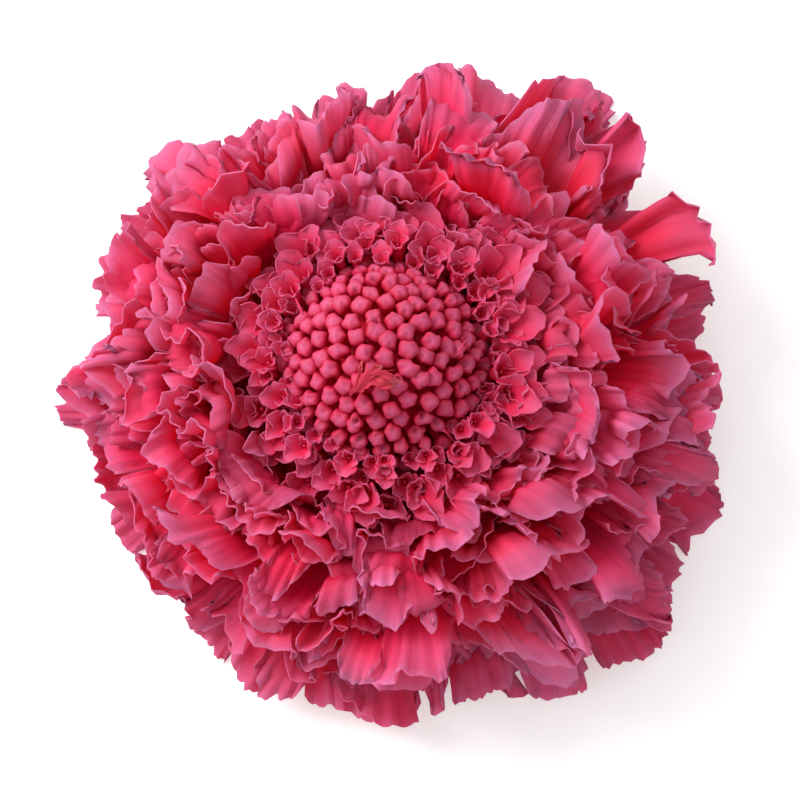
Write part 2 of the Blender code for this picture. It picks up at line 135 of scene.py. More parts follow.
# ----------------------------------------------------------------- petals
class Petals:
    """Every petal of the head as one grid of points for each lip of a floret.

    The lips start as plain fans that don't touch.  Their ruffles grow while
    they push each other aside, so they end up packed as in the real head."""

    def __init__(self, seed, rows, cols):
        rng = np.random.default_rng(seed)
        self.R, self.C = rows, cols
        self.info = []
        base_, disp_ = [], []
        t = np.linspace(-1, 1, cols)
        for family, spec in WHORLS.items():
            for i in range(spec["count"]):
                az = math.radians(spec["first"]) + 2 * math.pi * i / spec["count"] + rng.normal() * 0.05
                around = (math.degrees(az) / 30.0) % 12
                k = int(around)
                outline = OUTER_REACH[k] + (OUTER_REACH[(k + 1) % 12] - OUTER_REACH[k]) * (around - k)
                for lip, ls in enumerate(spec["lips"]):
                    line = np.array(spec["tube"] + [spec["throat"]] + ls["line"])
                    n0 = len(spec["tube"]) + 1
                    end = line[-1, 0]
                    reach = end * (1 + (outline / 30.6 - 1) * min(1, (end - 12) / 14)) * rng.uniform(0.93, 1.05)
                    if end > 16:
                        line[n0:, 0] = 12 + (line[n0:, 0] - 12) * (reach - 12) / (end - 12)
                    line[n0:, 1] += rng.normal() * 0.8 * np.linspace(0.3, 1, len(line) - n0)
                    at, pts, nrm = smooth_line(line)
                    lo = at[np.argmin(np.hypot(pts[:, 0] - spec["throat"][0], pts[:, 1] - spec["throat"][1]))]
                    length = at[-1] - lo
                    # lobes of the lip, each with its own set
                    cuts = ls["cuts"] if len(ls["cuts"]) > 1 or rng.random() < 0.5 else [-0.33, 0.33]
                    cuts = [c + rng.normal() * 0.07 for c in cuts]
                    bounds = [-1.2] + cuts + [1.2]
                    near = [1 / (1 + np.exp(-(t - a) / 0.035)) / (1 + np.exp((t - b) / 0.035))
                            for a, b in zip(bounds, bounds[1:])]
                    total = sum(near)
                    lobe = [w / total for w in near]
                    local = [np.clip((t - (a + b) / 2) / ((b - a) / 2), -1, 1) for a, b in zip(bounds, bounds[1:])]
                    m = sum(w * rng.uniform(0.80, 1.06) * (1 - 0.13 * np.abs(x) ** 3) for w, x in zip(lobe, local))
                    for c in cuts:
                        m -= (rng.uniform(0.16, 0.40) + (0.08 if end > 24 else 0.0)) * np.exp(-np.abs((t - c) / 0.055) ** 1.2)
                    m -= 0.14 * np.abs(t) ** 8
                    m += 0.05 * smooth_noise(rng, cols, [1.5, 2.5, 4])
                    m = np.clip(m, 0.45, 1.1)
                    lift = sum(w * rng.normal() * 1.5 for w in lobe)[None]
                    tilt = sum(w * x * rng.normal() * 1.25 * ls["twist"] for w, x in zip(lobe, local))[None]
                    kink = sum(w * rng.normal() * 0.25 for w in lobe)[None]
                    kink_at = sum(w * rng.uniform(0.35, 0.75) for w in lobe)[None]
                    shift = sum(w * rng.normal() * 1.35 for w in lobe)[None]
                    bow = sum(w * (1 - x ** 2) * rng.normal() * 0.9 for w, x in zip(lobe, local))[None]
                    curl = sum(w * ls["curl"] * (rng.uniform(0.2, 1.7) if rng.random() > 0.14 else -0.5) for w in lobe)[None]
                    r_ = length * m[None] * np.linspace(0, 1, rows)[:, None]
                    half_sector = math.pi / spec["count"] * 0.94
                    s = lo + r_
                    rr, zz = np.interp(s, at, pts[:, 0]), np.interp(s, at, pts[:, 1])
                    nr, nz = np.interp(s, at, nrm[:, 0]), np.interp(s, at, nrm[:, 1])
                    q = r_ / length
                    w0 = 2 * half_sector * rr * np.clip(0.25 + 1.6 * q, 0, 1)
                    arc = t[None] * math.radians(75)
                    cup = (-1 if lip == 0 else 1) * 0.9 * np.cos(arc) * np.clip(1 - q * 4, 0, 1)
                    turn = ls.get("turn", rng.normal() * 0.08) * 2 * math.pi / spec["count"]
                    a3 = az + turn * np.clip(q / 0.5, 0, 1) ** 1.3 + t[None] / 2 * w0 / rr
                    ca, sa = np.cos(a3), np.sin(a3)
                    base = np.stack([(rr + nr * cup) * ca, (rr + nr * cup) * sa, zz + nz * cup], -1)
                    e_up = np.stack([nr * ca, nr * sa, nz], -1)
                    e_round = np.stack([-sa, ca, 0 * sa], -1)
                    e_out = np.stack([nz * ca, nz * sa, -nr], -1)
                    # ruffles as a meander seen from the margin
                    n = ls["waves"] * rng.uniform(0.75, 1.25)
                    th = math.pi * n * (t + 0.20 * np.sin(2.6 * t + rng.uniform(0, 6))
                                        + 0.05 * np.sin(6 * t + rng.uniform(0, 6))) + rng.uniform(0, 2 * math.pi)
                    amp = 1.12 * ls["ruffle"] * (1 + 0.35 * smooth_noise(rng, cols, [1, 1.7, 2.6]))
                    amp = np.clip(amp, 0.3 * ls["ruffle"], 1.6 * ls["ruffle"])[None]
                    p2 = rng.uniform(0, 6)
                    up = amp * (np.sin(th)[None] * q ** 1.9
                                + 0.36 * np.sin(2.7 * th + p2)[None] * q ** 2.4
                                + 0.20 * np.sin(5.6 * th + 2 * p2)[None] * q ** 3.4)
                    round_ = amp * (-0.46 * np.sin(2 * th)[None] * q ** 2.2
                                    - 0.16 * np.sin(5.2 * th + 2 * p2)[None] * q ** 3)
                    up = up + (lift + tilt + bow) * q ** 1.5
                    up = up + kink * length * 0.08 * np.log1p(np.exp((q - kink_at) / 0.08))
                    round_ = round_ + shift * q ** 1.6
                    for k in range(4):
                        w = rng.uniform(0.7, 1.2)
                        a = rng.uniform(0, math.pi)
                        up = up + 0.34 * q * np.sin(w * (math.cos(a) * t[None] * w0 / 2 + math.sin(a) * r_) + rng.uniform(0, 6))
                    for k in range(5):
                        w = rng.uniform(2.2, 3.8)
                        a = rng.uniform(0, math.pi)
                        up = up + 0.13 * q * np.sin(w * (math.cos(a) * t[None] * w0 / 2 + math.sin(a) * r_) + rng.uniform(0, 6))
                    # one side of the limb laps over its neighbour, the other under
                    up = up + rng.choice([-1, 1]) * ls["lap"] * t[None] * q * rng.uniform(0.4, 1.3)
                    round_ = round_ + t[None] * q * w0 * 0.5 * (ls["spread"] * rng.uniform(0.8, 1.25) - 1)
                    # margin curled back
                    over = np.clip(q - rng.uniform(0.62, 0.76), 0, 1) * length
                    curl = np.where(np.abs(curl) < 0.01, 0.01, curl) * (1 + 0.35 * smooth_noise(rng, cols, [1, 2, 3]))[None]
                    phi = np.clip(curl * over, -1.2, 2.5)
                    over = phi / curl
                    up = up - (1 - np.cos(phi)) / curl
                    out = np.sin(phi) / curl - over
                    base_.append(base)
                    disp_.append(e_up * up[..., None] + e_round * round_[..., None] + e_out * out[..., None])
                    self.info.append(dict(family=family, index=i, lip=lip, az=az,
                                          tube=np.array(spec["tube"] + [spec["throat"]])))
        self.P = np.array(base_, F32)
        self.base = self.P.copy()
        self.disp = np.array(disp_, F32)
        self.F = len(self.info)

    def edge_sets(self):
        """Edges along rows, columns and both diagonals, in sets that share no point."""
        R, C, S = self.R, self.C, slice
        every = S(None)
        sets = []
        for start in (0, 1):
            n = (C - start) // 2
            sets.append(((every, every, S(start, start + 2 * n - 1, 2)), (every, every, S(start + 1, start + 2 * n, 2))))
            n = (R - start) // 2
            ra, rb = S(start, start + 2 * n - 1, 2), S(start + 1, start + 2 * n, 2)
            sets.append(((every, ra, every), (every, rb, every)))
            sets.append(((every, ra, S(0, C - 1)), (every, rb, S(1, C))))
            sets.append(((every, ra, S(1, C)), (every, rb, S(0, C - 1))))
        return sets

    def grow(self, steps, start, end, bend, pull, clear, rebuild, top=26.0, push=0.6):
        P, R, C = self.P, self.R, self.C
        sets = self.edge_sets()
        pin = P[:, :2].copy()
        for step in range(steps):
            g = start + (end - start) * min(1.0, (step + 1) / (0.8 * steps))
            G = self.base + F32(g) * self.disp
            if step % 10 == 0:
                rest = [np.sqrt(((G[a] - G[b]) ** 2).sum(-1)) for a, b in sets]
            for (sa, sb), l in zip(sets, rest):
                A, B = P[sa], P[sb]
                d = B - A
                n = np.sqrt(np.einsum("...k,...k", d, d)) + F32(1e-9)
                d *= (0.5 * (n - l) / n)[..., None]
                A += d
                B -= d
            E = P - G
            lap = np.zeros_like(P)
            lap[:, :, 1:-1] += 0.5 * (E[:, :, :-2] + E[:, :, 2:]) - E[:, :, 1:-1]
            lap[:, 1:-1] += 0.5 * (E[:, :-2] + E[:, 2:]) - E[:, 1:-1]
            P += F32(bend) * lap - F32(pull) * E
            if step % rebuild == 0:
                pairs = self.near(clear * 1.35)
            self.part(pairs, clear, push)
            z = P[..., 2]
            np.maximum(z, F32(0.25), out=z)
            z -= np.clip(z - top, 0, None) * F32(0.3)
            r = np.sqrt(P[..., 0] ** 2 + P[..., 1] ** 2)
            lim = 9.0 + np.clip((z - 13.0) / 3.0, 0, 1) * 2.9 + np.clip((z - 20) / 5, 0, 1) * 0.8
            f = np.where(r < lim, lim / np.maximum(r, 1e-3), 1.0)
            P[..., 0] *= f
            P[..., 1] *= f
            P[:, :2] = pin

    def near(self, d):
        """Pairs of points nearer than d that are not neighbours in one sheet."""
        R, C = self.R, self.C
        X = self.P.reshape(-1, 3)
        N = len(X)
        cell = ((X - (X.min(0) - d)) / d).astype(np.int64)
        dim = cell.max(0) + 2
        key = (cell[:, 0] * dim[1] + cell[:, 1]) * dim[2] + cell[:, 2]
        order = np.argsort(key, kind="stable")
        uniq, first, cnt = np.unique(key[order], return_index=True, return_counts=True)
        ids = np.arange(N)
        fid, rid, cid = ids // (R * C), (ids // C) % R, ids % C
        near_i, near_j = [], []
        steps = [(x, y, z) for x in (-1, 0, 1) for y in (-1, 0, 1) for z in (-1, 0, 1) if (x, y, z) >= (0, 0, 0)]
        for off in steps:
            o = (off[0] * dim[1] + off[1]) * dim[2] + off[2]
            pos = np.minimum(np.searchsorted(uniq, uniq + o), len(uniq) - 1)
            ok = uniq[pos] == uniq + o
            ca, cb = np.nonzero(ok)[0], pos[ok]
            na, nb = cnt[ca], cnt[cb]
            tot = na * nb
            if not tot.sum():
                continue
            rep = np.repeat(np.arange(len(ca)), tot)
            k = np.arange(tot.sum()) - np.repeat(np.cumsum(tot) - tot, tot)
            ia = first[ca][rep] + k // nb[rep]
            ib = first[cb][rep] + k % nb[rep]
            if off == (0, 0, 0):
                s = ia < ib
                ia, ib = ia[s], ib[s]
            ia, ib = order[ia], order[ib]
            dd = X[ia] - X[ib]
            s = np.einsum("ij,ij->i", dd, dd) < d * d
            ia, ib = ia[s], ib[s]
            s = (fid[ia] != fid[ib]) | (np.abs(rid[ia] - rid[ib]) > 3) | (np.abs(cid[ia] - cid[ib]) > 4)
            near_i.append(ia[s])
            near_j.append(ib[s])
        return np.concatenate(near_i), np.concatenate(near_j)

    def part(self, pairs, clear, push):
        i, j = pairs
        X = self.P.reshape(-1, 3)
        d = X[i] - X[j]
        n = np.sqrt(np.einsum("ij,ij->i", d, d)) + 1e-9
        s = n < clear
        i, j, d, n = i[s], j[s], d[s], n[s]
        c = d * (0.5 * push * (clear - n) / n)[:, None]
        N = len(X)
        hits = np.maximum(np.bincount(i, minlength=N) + np.bincount(j, minlength=N), 1)
        for k in range(3):
            X[:, k] += ((np.bincount(i, c[:, k], N) - np.bincount(j, c[:, k], N)) / hits * 1.6).astype(F32)

    def refine(self, rows, cols):
        """The same sheets on a finer grid."""
        def up(X, axis, n2):
            n = X.shape[axis]
            t = np.linspace(0, n - 1, n2)
            i = np.clip(t.astype(int), 0, n - 2)
            f = t - i
            X = np.moveaxis(X, axis, -1)
            a0, a1 = X[..., np.clip(i - 1, 0, n - 1)], X[..., i]
            a2, a3 = X[..., i + 1], X[..., np.clip(i + 2, 0, n - 1)]
            y = 0.5 * (2 * a1 + (a2 - a0) * f + (2 * a0 - 5 * a1 + 4 * a2 - a3) * f ** 2
                       + (3 * a1 - a0 - 3 * a2 + a3) * f ** 3)
            return np.moveaxis(y, -1, axis)
        for name in ("P", "base", "disp"):
            setattr(self, name, up(up(getattr(self, name), 1, rows), 2, cols).astype(F32))
        self.R, self.C = rows, cols

    def crimp(self, seed):
        """Fine pleats that run out to the margin, and its small blunt teeth."""
        rng = np.random.default_rng(seed)
        R, C = self.R, self.C
        q = np.linspace(0, 1, R)[:, None]
        broad = np.clip((q - 0.22) / 0.78, 0, 1) ** 1.5
        narrow = np.clip((q - 0.55) / 0.45, 0, 1) ** 1.4
        for k, info in enumerate(self.info):
            P = self.P[k].astype(float)
            n = np.cross(np.gradient(P, axis=0), np.gradient(P, axis=1))
            n /= np.linalg.norm(n, axis=-1)[..., None] + 1e-9
            s = np.concatenate([[0], np.cumsum(np.linalg.norm(np.diff(P[-3], axis=0), axis=1))])
            size = {"outer_floret": 1.0, "lower_floret": 0.92, "upper_floret": 0.85, "inner_floret": 0.6}[info["family"]]
            fold = 2 * math.pi * s / rng.uniform(1.35, 2.1) + 1.5 * smooth_noise(rng, C, [1.3, 2.1, 3.4]) + rng.uniform(0, 6)
            fine = 2 * math.pi * s / rng.uniform(0.80, 1.05) + 1.3 * smooth_noise(rng, C, [2.3, 4.1, 5.6]) + rng.uniform(0, 6)
            strong = np.clip(0.60 + 0.50 * smooth_noise(rng, C, [1.7, 3.1, 4.4]), 0.05, 1.3)
            drift = 0.9 * smooth_noise(rng, C, [1, 2])[None] * (1 - q)
            up = 0.37 * size * (strong * np.sin(fold + drift) * broad + 0.34 * (1.3 - strong) * np.sin(fine + drift) * narrow)
            # teeth, rounded, with now and then a deeper notch
            knots = [-rng.uniform(0, 0.6)]
            while knots[-1] < s[-1]:
                knots.append(knots[-1] + rng.uniform(0.55, 1.25))
            knots = np.array(knots)
            i = np.clip(np.searchsorted(knots, s, side="right") - 1, 0, len(knots) - 2)
            part = (s - knots[i]) / (knots[i + 1] - knots[i])
            tall = rng.uniform(0.25, 1.0, len(knots)) * np.where(rng.random(len(knots)) < 0.14, -1.1, 1.0)
            edge = (0.50 if info["family"] == "outer_floret" else 0.40 * size) * (tall[i] * np.sin(math.pi * np.clip(part, 0, 1)) ** 0.8 - 0.25)
            e = P[-1] - P[-3]
            e /= np.linalg.norm(e, axis=-1)[:, None] + 1e-6
            P += n * up[..., None]
            for row, share in ((-1, 1.0), (-2, 0.5), (-3, 0.15)):
                P[row] += e * (share * edge)[:, None]
            P[..., 2] = np.maximum(P[..., 2], 0.2)
            self.P[k] = P


def fit_outline(petals):
    """Draw the outer petals in or out so that the head's outline has the measured reach."""
    n = len(OUTLINE)
    at = np.arange(n) * 360 / n
    for k in range(3):
        x, y = in_picture(petals.P.reshape(-1, 3))
        r, az = np.hypot(x, y), np.degrees(np.arctan2(y, x)) % 360
        scale = np.ones(n)
        for i, c in enumerate(at):
            near = np.abs((az - c + 180) % 360 - 180) < 2.2
            scale[i] = OUTLINE[i] / np.percentile(r[near], 99.8)
        scale = np.clip(scale, 0.90, 1.10)
        P = petals.P
        az = np.degrees(np.arctan2(P[..., 1], P[..., 0])) % 360
        f = np.interp(az, np.append(at, 360), np.append(scale, scale[0]))
        r = np.hypot(P[..., 0], P[..., 1])
        w = np.clip((r - 16) / 12, 0, 1)
        f = 1 + (f - 1) * w * w * (3 - 2 * w)
        P[..., 0] *= f
        P[..., 1] *= f
    # what still stands out past the outline is drawn in
    for k in range(2):
        x, y = in_picture(P.reshape(-1, 3))
        r, az = np.hypot(x, y), np.degrees(np.arctan2(y, x)) % 360
        limit = np.interp(az, np.append(at, 360), OUTLINE + OUTLINE[:1])
        over = np.clip(r - limit, 0, None)
        f = (1 - 0.75 * over / r).reshape(P.shape[:3])
        P[..., 0] *= f
        P[..., 1] *= f


def openness_for_painted_shade(petals):
    """How near the top of the canopy each point is, 1 at the top and 0 deep in a pocket. The petal colour uses it as
    painted shade: the pale margin colour fades out deep in the pockets, while petals beyond about 21 mm from the axis
    keep most of it.
    """
    P = petals.P.reshape(-1, 3)
    cell, half = 0.8, 40
    n = int(2 * half / cell)
    i = np.clip(((P[:, :2] + half) / cell).astype(int), 0, n - 1)
    top = np.zeros((n, n))
    np.maximum.at(top, (i[:, 0], i[:, 1]), P[:, 2])
    for k in range(3):
        wide = top
        for dx in (-1, 0, 1):
            for dy in (-1, 0, 1):
                wide = np.maximum(wide, np.roll(top, (dx, dy), (0, 1)))
        top = wide
    for k in range(2):
        top = sum(np.roll(top, (dx, dy), (0, 1)) for dx in (-1, 0, 1) for dy in (-1, 0, 1)) / 9
    deep = top[i[:, 0], i[:, 1]] - P[:, 2]
    r = np.hypot(P[:, 0], P[:, 1])
    least = 0.85 * np.clip((r - 21) / 5, 0, 1)
    return np.maximum(np.clip(1 - (deep - 0.8) / 5.0, 0, 1), least).reshape(petals.P.shape[:3])


def grown_petals():
    petals = Petals(7, *COARSE)
    petals.grow(140, 0.0, 1.0, 0.18, 0.08, 0.65, 5)
    petals.refine(*FINE)
    petals.grow(20, 1.0, 1.0, 0.08, 0.02, 0.42, 8)
    fit_outline(petals)
    petals.crimp(3)
    return petals


# ------------------------------------------------------------ mesh helpers
def grid_faces(rows, cols, offset=0, flip=False, wrap=False):
    i, j = np.meshgrid(np.arange(rows - 1), np.arange(cols if wrap else cols - 1), indexing="ij")
    j2 = (j + 1) % cols
    q = np.stack([i * cols + j, (i + 1) * cols + j, (i + 1) * cols + j2, i * cols + j2], -1).reshape(-1, 4)
    if flip:
        q = q[:, ::-1]
    return q + offset


def sheet_parts(P, thick):
    """Closed solid round a grid of points: vertices, quads and a UV for each vertex."""
    R, C, _ = P.shape
    du = np.gradient(P, axis=1)
    dv = np.gradient(P, axis=0)
    n = np.cross(dv, du)
    n /= np.linalg.norm(n, axis=-1)[..., None] + 1e-12
    half = 0.5 * np.broadcast_to(thick, (R, C))[..., None] * n
    top, bottom = (P + half).reshape(-1, 3), (P - half).reshape(-1, 3)
    v, u = np.meshgrid(np.linspace(0, 1, R), np.linspace(0, 1, C), indexing="ij")
    uv = np.stack([u.ravel(), v.ravel()], -1)
    N = R * C
    a = np.arange(C)
    rim = np.concatenate([a, (np.arange(1, R)) * C + C - 1, (R - 1) * C + a[::-1][1:], (np.arange(R - 2, 0, -1)) * C])
    nxt = np.roll(rim, -1)
    faces = np.concatenate([grid_faces(R, C), grid_faces(R, C, N, True),
                            np.stack([rim, nxt, nxt + N, rim + N], -1)])
    sharp = np.concatenate([np.stack([rim, nxt], -1), np.stack([rim, nxt], -1) + N])
    return np.concatenate([top, bottom]), faces, np.concatenate([uv, uv]), sharp


def tube_parts(rings, radii, sides=12):
    """Closed tube through ring centres (n, 3)."""
    rings = np.asarray(rings, float)
    d = np.gradient(rings, axis=0)
    d /= np.linalg.norm(d, axis=1)[:, None]
    up = np.array([0.0, 0.0, 1.0])
    verts, uvs = [], []
    for k, (c, t, r) in enumerate(zip(rings, d, radii)):
        x = np.cross(t, up)
        x = x / (np.linalg.norm(x) + 1e-9) if np.linalg.norm(x) > 1e-6 else np.array([1.0, 0, 0])
        y = np.cross(x, t)
        a = 2 * math.pi * np.arange(sides) / sides
        verts.append(c + r * (np.cos(a)[:, None] * x + np.sin(a)[:, None] * y))
        uvs.append(np.stack([a / (2 * math.pi), np.full(sides, k / (len(rings) - 1) * 0.3)], -1))
    v = np.concatenate(verts)
    faces = [list(q) for q in grid_faces(len(rings), sides, wrap=True)]
    faces += [list(range(sides)), list(range(len(v) - 1, len(v) - sides - 1, -1))]
    return v, faces, np.concatenate(uvs)


def make_object(name, parts, mat, attrs=None, smooth=True):
    """One object from several (vertices, faces, uv) parts, in millimetres from the axis."""
    verts, faces, uvs, crisp, n = [], [], [], [], 0
    for v, f, uv, *sharp in parts:
        verts.append(v)
        uvs.append(uv)
        if sharp:
            crisp.append(sharp[0] + n)
        faces += [[int(k) + n for k in q] for q in f]
        n += len(v)
    verts, uvs = np.concatenate(verts), np.concatenate(uvs)
    me = bpy.data.meshes.new(name)
    me.from_pydata(((verts + AXIS) * MM).tolist(), [], faces)
    layer = me.uv_layers.new(name="petal")
    loops = np.zeros(len(me.loops), dtype=np.int32)
    me.loops.foreach_get("vertex_index", loops)
    layer.data.foreach_set("uv", uvs[loops].astype(F32).ravel())
    for key, values in (attrs or {}).items():
        at = me.attributes.new(key, "FLOAT", "POINT")
        at.data.foreach_set("value", np.asarray(values, F32))
    me.materials.append(mat)
    if smooth:
        me.shade_smooth()
    if crisp:
        crisp = np.sort(np.concatenate(crisp), axis=1)
        ends = np.zeros(2 * len(me.edges), dtype=np.int64)
        me.edges.foreach_get("vertices", ends)
        ends = np.sort(ends.reshape(-1, 2), axis=1)
        flag = np.isin(ends[:, 0] * len(verts) + ends[:, 1], crisp[:, 0] * len(verts) + crisp[:, 1])
        mark = me.attributes.new("sharp_edge", "BOOLEAN", "EDGE")
        mark.data.foreach_set("value", flag)
    me.update()
    obj = bpy.data.objects.new(name, me)
    bpy.context.collection.objects.link(obj)
    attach(obj, "root")
    return obj


# --------------------------------------------------------------- materials
class Nodes:
    def __init__(self, name):
        self.mat = bpy.data.materials.new(name)
        self.mat.use_nodes = True
        self.nt = self.mat.node_tree
        self.nt.nodes.clear()

    def add(self, kind, **inputs):
        node = self.nt.nodes.new(kind)
        for k, v in inputs.items():
            if hasattr(node, k):
                setattr(node, k, v)
        return node

    def link(self, a, b):
        self.nt.links.new(a, b)

    def math(self, op, a, b=None, c=None, clamp=False):
        node = self.add("ShaderNodeMath", operation=op, use_clamp=clamp)
        for k, x in enumerate((a, b, c)):
            if x is None:
                continue
            if isinstance(x, (int, float)):
                node.inputs[k].default_value = x
            else:
                self.link(x, node.inputs[k])
        return node.outputs[0]

    def mix(self, fac, a, b):
        node = self.add("ShaderNodeMix", data_type="RGBA")
        for sock, x in ((node.inputs[0], fac), (node.inputs[6], a), (node.inputs[7], b)):
            if isinstance(x, (int, float)):
                sock.default_value = x
            elif isinstance(x, tuple):
                sock.default_value = (*x, 1.0)
            else:
                self.link(x, sock)
        return node.outputs[2]

    def ramp(self, fac, stops):
        node = self.add("ShaderNodeValToRGB")
        cr = node.color_ramp
        while len(cr.elements) < len(stops):
            cr.elements.new(0.5)
        for e, (p, v) in zip(cr.elements, stops):
            e.position = p
            e.color = (v, v, v, 1.0) if isinstance(v, (int, float)) else (*v, 1.0)
        self.link(fac, node.inputs[0])
        return node.outputs[0]

    def noise(self, vec, scale, detail=3.0, rough=0.5):
        node = self.add("ShaderNodeTexNoise")
        node.inputs["Scale"].default_value = scale
        node.inputs["Detail"].default_value = detail
        node.inputs["Roughness"].default_value = rough
        if vec is not None:
            self.link(vec, node.inputs["Vector"])
        return node.outputs["Fac"]


def petal_material(name, deep, mid, pale, thin, through=0.50, vein=1.0, uv_scale=(72.0, 2.6), paint_pocket_shade=True,
                   rough=0.48, gleam=0.15):
    """Waxy translucent petal: fine veins along it, paler towards the margin, a painted highlight as a lighter band
    along the rim and, where asked, painted shade that keeps the colour deep red in the pockets of the head.
    """
    n = Nodes(name)
    out = n.add("ShaderNodeOutputMaterial")
    tc = n.add("ShaderNodeTexCoord")
    uv = n.add("ShaderNodeUVMap")
    uv.uv_map = "petal"
    sep = n.add("ShaderNodeSeparateXYZ")
    n.link(uv.outputs[0], sep.inputs[0])
    stretch = n.add("ShaderNodeMapping")
    stretch.inputs["Scale"].default_value = (uv_scale[0], uv_scale[1], 1.0)
    n.link(uv.outputs[0], stretch.inputs["Vector"])
    # object-space position keeps the streaks of each petal different
    add = n.add("ShaderNodeVectorMath", operation="ADD")
    big = n.add("ShaderNodeVectorMath", operation="SCALE")
    big.inputs["Scale"].default_value = 60.0
    n.link(tc.outputs["Object"], big.inputs[0])
    n.link(stretch.outputs[0], add.inputs[0])
    n.link(big.outputs[0], add.inputs[1])
    streak = n.noise(add.outputs[0], 1.0, 1.0, 0.5)
    mott = n.noise(tc.outputs["Object"], 520.0, 2.0, 0.55)
    patch = n.noise(tc.outputs["Object"], 95.0, 1.0, 0.5)
    edge = n.ramp(sep.outputs["Y"], [(0.0, 0.0), (0.45, 0.03), (0.72, 0.27), (0.90, 0.74), (1.0, 1.0)])
    # painted shade: the pale margin colour is held back where a point lies deep in a pocket of the canopy, so the
    # petal stays deep red there
    if paint_pocket_shade:
        light = n.add("ShaderNodeAttribute")
        light.attribute_name = "open"
        edge = n.math("MULTIPLY", edge, n.math("MULTIPLY_ADD", light.outputs["Fac"], 0.85, 0.15))
    # painted highlight: a lighter band along the very margin of each petal, laid over its paler margin colour
    lip = tuple(min(0.92, 1.02 * c + 0.05) for c in pale)
    rim = n.ramp(sep.outputs["Y"], [(0.955, 0.0), (0.99, 1.0)])
    col = n.mix(n.ramp(patch, [(0.3, 0.0), (0.7, 1.0)]), deep, mid)
    col = n.mix(n.math("MULTIPLY", edge, 0.83), col, pale)
    col = n.mix(n.math("MULTIPLY", rim, 0.45 * vein * vein), col, lip)
    tone = n.math("MULTIPLY_ADD", n.ramp(streak, [(0.30, 0.0), (0.70, 1.0)]), 0.15 * vein, 1.0 - 0.09 * vein)
    tone = n.math("MULTIPLY", tone, n.math("MULTIPLY_ADD", mott, 0.24, 0.88))
    bright = n.add("ShaderNodeHueSaturation")
    n.link(col, bright.inputs["Color"])
    n.link(tone, bright.inputs["Value"])
    col = bright.outputs[0]
    bsdf = n.add("ShaderNodeBsdfPrincipled")
    n.link(col, bsdf.inputs["Base Color"])
    bsdf.inputs["Specular IOR Level"].default_value = gleam
    bsdf.inputs["Sheen Weight"].default_value = 0.0
    n.link(n.math("MULTIPLY_ADD", mott, 0.2, rough), bsdf.inputs["Roughness"])
    height = n.math("ADD", n.math("MULTIPLY", streak, 0.6 * vein), n.math("MULTIPLY", mott, 0.3))
    bump = n.add("ShaderNodeBump")
    bump.inputs["Strength"].default_value = 0.5
    bump.inputs["Distance"].default_value = 0.00016
    n.link(height, bump.inputs["Height"])
    n.link(bump.outputs[0], bsdf.inputs["Normal"])
    tr = n.add("ShaderNodeBsdfTranslucent")
    thin_col = n.mix(0.75, col, thin)
    n.link(thin_col, tr.inputs["Color"])
    n.link(bump.outputs[0], tr.inputs["Normal"])
    mix = n.add("ShaderNodeMixShader")
    mix.inputs[0].default_value = through
    n.link(bsdf.outputs[0], mix.inputs[1])
    n.link(tr.outputs[0], mix.inputs[2])
    n.link(mix.outputs[0], out.inputs["Surface"])
    n.mat.diffuse_color = (*mid, 1.0)
    return n.mat


def floor_material():
    n = Nodes("studio_floor")
    out = n.add("ShaderNodeOutputMaterial")
    bsdf = n.add("ShaderNodeBsdfPrincipled")
    bsdf.inputs["Base Color"].default_value = (0.86, 0.86, 0.86, 1.0)
    bsdf.inputs["Emission Color"].default_value = (1.0, 1.0, 1.0, 1.0)
    bsdf.inputs["Emission Strength"].default_value = 0.34
    bsdf.inputs["Roughness"].default_value = 0.9
    bsdf.inputs["Specular IOR Level"].default_value = 0.1
    n.link(bsdf.outputs[0], out.inputs["Surface"])
    return n.mat


# ------------------------------------------------------------ studio
def studio():
    floor = bpy.data.meshes.new("floor")
    s = 3.0
    floor.from_pydata([(-s, -s, 0), (s, -s, 0), (s, s, 0), (-s, s, 0)], [], [(0, 1, 2, 3)])
    floor.materials.append(floor_material())
    obj = bpy.data.objects.new("floor", floor)
    bpy.context.collection.objects.link(obj)

    world = bpy.data.worlds.new("studio")
    bpy.context.scene.world = world
    world.use_nodes = True
    nt = world.node_tree
    bg = nt.nodes["Background"]
    bg.inputs[0].default_value = (1.0, 0.985, 0.985, 1.0)
    where = nt.nodes.new("ShaderNodeTexCoord")
    dot = nt.nodes.new("ShaderNodeVectorMath")
    dot.operation = "DOT_PRODUCT"
    dot.inputs[1].default_value = Vector((-0.70, 0.38, 0.60)).normalized()
    nt.links.new(where.outputs["Generated"], dot.inputs[0])
    soft = nt.nodes.new("ShaderNodeMapRange")
    soft.inputs["From Min"].default_value = -0.7
    soft.inputs["From Max"].default_value = 1.0
    soft.inputs["To Min"].default_value = 0.25
    soft.inputs["To Max"].default_value = 1.12
    nt.links.new(dot.outputs["Value"], soft.inputs["Value"])
    nt.links.new(soft.outputs["Result"], bg.inputs[1])

    def area(name, place, size, power, colour=(1, 1, 1)):
        light = bpy.data.lights.new(name, "AREA")
        light.shape = "DISK"
        light.size = size
        light.energy = power
        light.color = colour
        lo = bpy.data.objects.new(name, light)
        lo.location = place
        lo.rotation_euler = (Vector((0, 0, 0.012)) - lo.location).to_track_quat("-Z", "Y").to_euler()
        bpy.context.collection.objects.link(lo)

    area("key", (-0.38, 0.20, 0.38), 0.34, 2.95, (1.0, 0.985, 0.97))
    area("fill", (0.45, -0.10, 0.40), 0.45, 0.14, (0.96, 0.97, 1.0))

    cam = bpy.data.cameras.new("camera")
    cam.lens = LENS
    cam.sensor_width = SENSOR
    cam.clip_start = 0.01
    co = bpy.data.objects.new("camera", cam)
    bpy.context.collection.objects.link(co)
    bpy.context.scene.camera = co
    co.location = Vector(AIM + BACK * DISTANCE)
    co.rotation_euler = Vector(-BACK).to_track_quat("-Z", "Y").to_euler()
    view = bpy.context.scene.view_settings
    view.view_transform = "Standard"
    view.look = "None"
    view.exposure = 0.0


studio()

